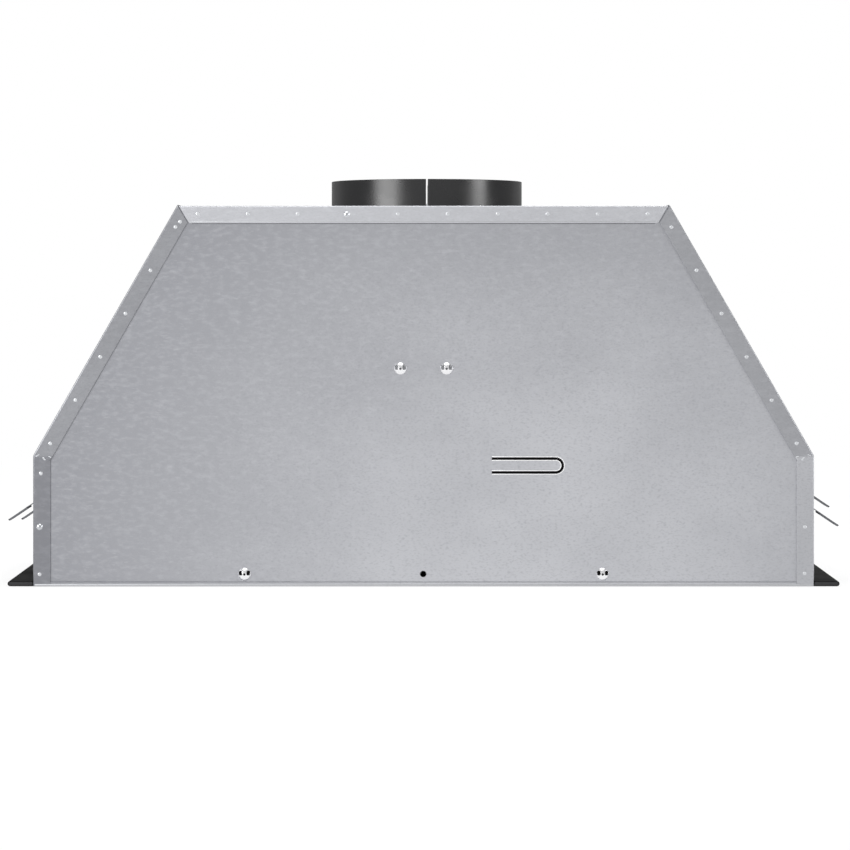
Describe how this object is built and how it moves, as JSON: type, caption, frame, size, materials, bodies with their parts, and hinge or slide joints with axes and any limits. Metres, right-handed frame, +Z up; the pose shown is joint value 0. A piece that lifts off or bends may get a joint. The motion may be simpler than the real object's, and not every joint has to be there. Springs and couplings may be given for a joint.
{
  "type": "range hood insert",
  "caption": "Galvanised range hood insert: sloped blower housing on a black face pan, with duct collar and damper, scroll blower, baffle filters, lamps and buttons.",
  "frame": {"origin": "middle of the flat underside of the face pan", "axes": "+X to the right as the wall side is seen, +Y from the wall side towards the room, +Z up"},
  "size_m": [0.7339, 0.2938, 0.3546],
  "materials": {
    "galvanised_sheet": "satin",
    "inner_galvanised": "satin",
    "black_enamel": "satin",
    "black_collar": "satin",
    "plated_steel": "satin",
    "nickel_screws": "gloss",
    "motor_grey": "satin",
    "capacitor_plastic": "satin",
    "black_plastic": "matte",
    "board_green": "satin",
    "rivet_aluminium": "satin",
    "spring_steel": "satin",
    "filter_stainless": "satin",
    "lamp_aluminium": "satin",
    "frosted_lens": "matte",
    "button_plastic": "satin"
  },
  "bodies": {
    "housing": {"rear_panel": "galvanised_sheet", "front_panel": "galvanised_sheet", "left_side_wrap": "galvanised_sheet", "right_side_wrap": "galvanised_sheet", "top_panel": "galvanised_sheet", "face_pan": "black_enamel", "left_collar_half": "black_collar", "right_collar_half": "black_collar", "damper_rod": "plated_steel", "scroll_wrap": "inner_galvanised", "left_scroll_plate": "inner_galvanised", "right_scroll_plate": "inner_galvanised", "left_inlet_ring": "inner_galvanised", "right_inlet_ring": "inner_galvanised", "outlet_flange": "inner_galvanised", "motor_can": "motor_grey", "motor_cap": "motor_grey", "motor_spider": "inner_galvanised", "stay_bracket": "inner_galvanised", "capacitor": "capacitor_plastic", "capacitor_clamp": "inner_galvanised", "wiring_box": "inner_galvanised", "cable_bushing": "black_plastic", "button_bezel": "black_plastic", "switch_board": "board_green", "control_box": "inner_galvanised", "clip_feet": "spring_steel", "clip_rivets": "rivet_aluminium", "rear_screws": "nickel_screws", "collar_screws": "nickel_screws", "blower_screws": "nickel_screws", "pan_nuts": "plated_steel", "left_lamp_housing": "lamp_aluminium", "right_lamp_housing": "lamp_aluminium", "left_lamp_lens": "frosted_lens", "right_lamp_lens": "frosted_lens"},
    "left_flap": {"left_damper_flap": "inner_galvanised"},
    "right_flap": {"right_damper_flap": "inner_galvanised"},
    "wheel": {"impeller": "inner_galvanised", "motor_shaft": "plated_steel", "impeller_nut": "plated_steel"},
    "left_filter": {"left_filter_frame": "filter_stainless", "left_lower_baffles": "filter_stainless", "left_upper_baffles": "filter_stainless", "left_filter_cup": "filter_stainless", "left_filter_catch": "spring_steel"},
    "right_filter": {"right_filter_frame": "filter_stainless", "right_lower_baffles": "filter_stainless", "right_upper_baffles": "filter_stainless", "right_filter_cup": "filter_stainless", "right_filter_catch": "spring_steel"},
    "light_button": {"light_button": "button_plastic"},
    "high_speed_button": {"high_speed_button": "button_plastic"},
    "medium_speed_button": {"medium_speed_button": "button_plastic"},
    "low_speed_button": {"low_speed_button": "button_plastic"},
    "power_button": {"power_button": "button_plastic"},
    "left_rear_clip": {"left_rear_clip": "spring_steel"},
    "right_rear_clip": {"right_rear_clip": "spring_steel"},
    "left_front_clip": {"left_front_clip": "spring_steel"},
    "right_front_clip": {"right_front_clip": "spring_steel"}
  },
  "joints": [
    {"name": "left_flap_hinge", "type": "hinge", "parent": "housing", "child": "left_flap", "pos_m": [0.003, -0.001, 0.331], "axis": [0, 1, 0], "range_deg": [0, 78]},
    {"name": "right_flap_hinge", "type": "hinge", "parent": "housing", "child": "right_flap", "pos_m": [0.003, -0.001, 0.331], "axis": [0, -1, 0], "range_deg": [0, 78]},
    {"name": "wheel_spin", "type": "hinge", "parent": "housing", "child": "wheel", "pos_m": [0.003, 0.038, 0.175], "axis": [1, 0, 0], "continuous": true},
    {"name": "left_filter_tilt", "type": "hinge", "parent": "housing", "child": "left_filter", "pos_m": [-0.156, -0.116, 0.0011], "axis": [-1, 0, 0], "range_deg": [0, 45], "deforming": ["left_filter_catch"]},
    {"name": "right_filter_tilt", "type": "hinge", "parent": "housing", "child": "right_filter", "pos_m": [0.156, -0.116, 0.0011], "axis": [-1, 0, 0], "range_deg": [0, 45], "deforming": ["right_filter_catch"]},
    {"name": "light_press", "type": "slide", "parent": "housing", "child": "light_button", "axis": [0, 0, 1], "range_m": [0, 0.002], "stiffness_N_per_m": 300},
    {"name": "high_speed_press", "type": "slide", "parent": "housing", "child": "high_speed_button", "axis": [0, 0, 1], "range_m": [0, 0.002], "stiffness_N_per_m": 300},
    {"name": "medium_speed_press", "type": "slide", "parent": "housing", "child": "medium_speed_button", "axis": [0, 0, 1], "range_m": [0, 0.002], "stiffness_N_per_m": 300},
    {"name": "low_speed_press", "type": "slide", "parent": "housing", "child": "low_speed_button", "axis": [0, 0, 1], "range_m": [0, 0.002], "stiffness_N_per_m": 300},
    {"name": "power_press", "type": "slide", "parent": "housing", "child": "power_button", "axis": [0, 0, 1], "range_m": [0, 0.002], "stiffness_N_per_m": 300},
    {"name": "left_rear_clip_flex", "type": "hinge", "parent": "housing", "child": "left_rear_clip", "pos_m": [-0.3392, -0.101, 0.0715], "axis": [0, -1, 0], "range_deg": [0, 50], "stiffness_Nm_per_rad": 0.3},
    {"name": "right_rear_clip_flex", "type": "hinge", "parent": "housing", "child": "right_rear_clip", "pos_m": [0.3392, -0.101, 0.0665], "axis": [0, 1, 0], "range_deg": [0, 50], "stiffness_Nm_per_rad": 0.3},
    {"name": "left_front_clip_flex", "type": "hinge", "parent": "housing", "child": "left_front_clip", "pos_m": [-0.3392, -0.021, 0.0655], "axis": [0, -1, 0], "range_deg": [0, 50], "stiffness_Nm_per_rad": 0.3},
    {"name": "right_front_clip_flex", "type": "hinge", "parent": "housing", "child": "right_front_clip", "pos_m": [0.3392, -0.021, 0.079], "axis": [0, 1, 0], "range_deg": [0, 50], "stiffness_Nm_per_rad": 0.3}
  ]
}
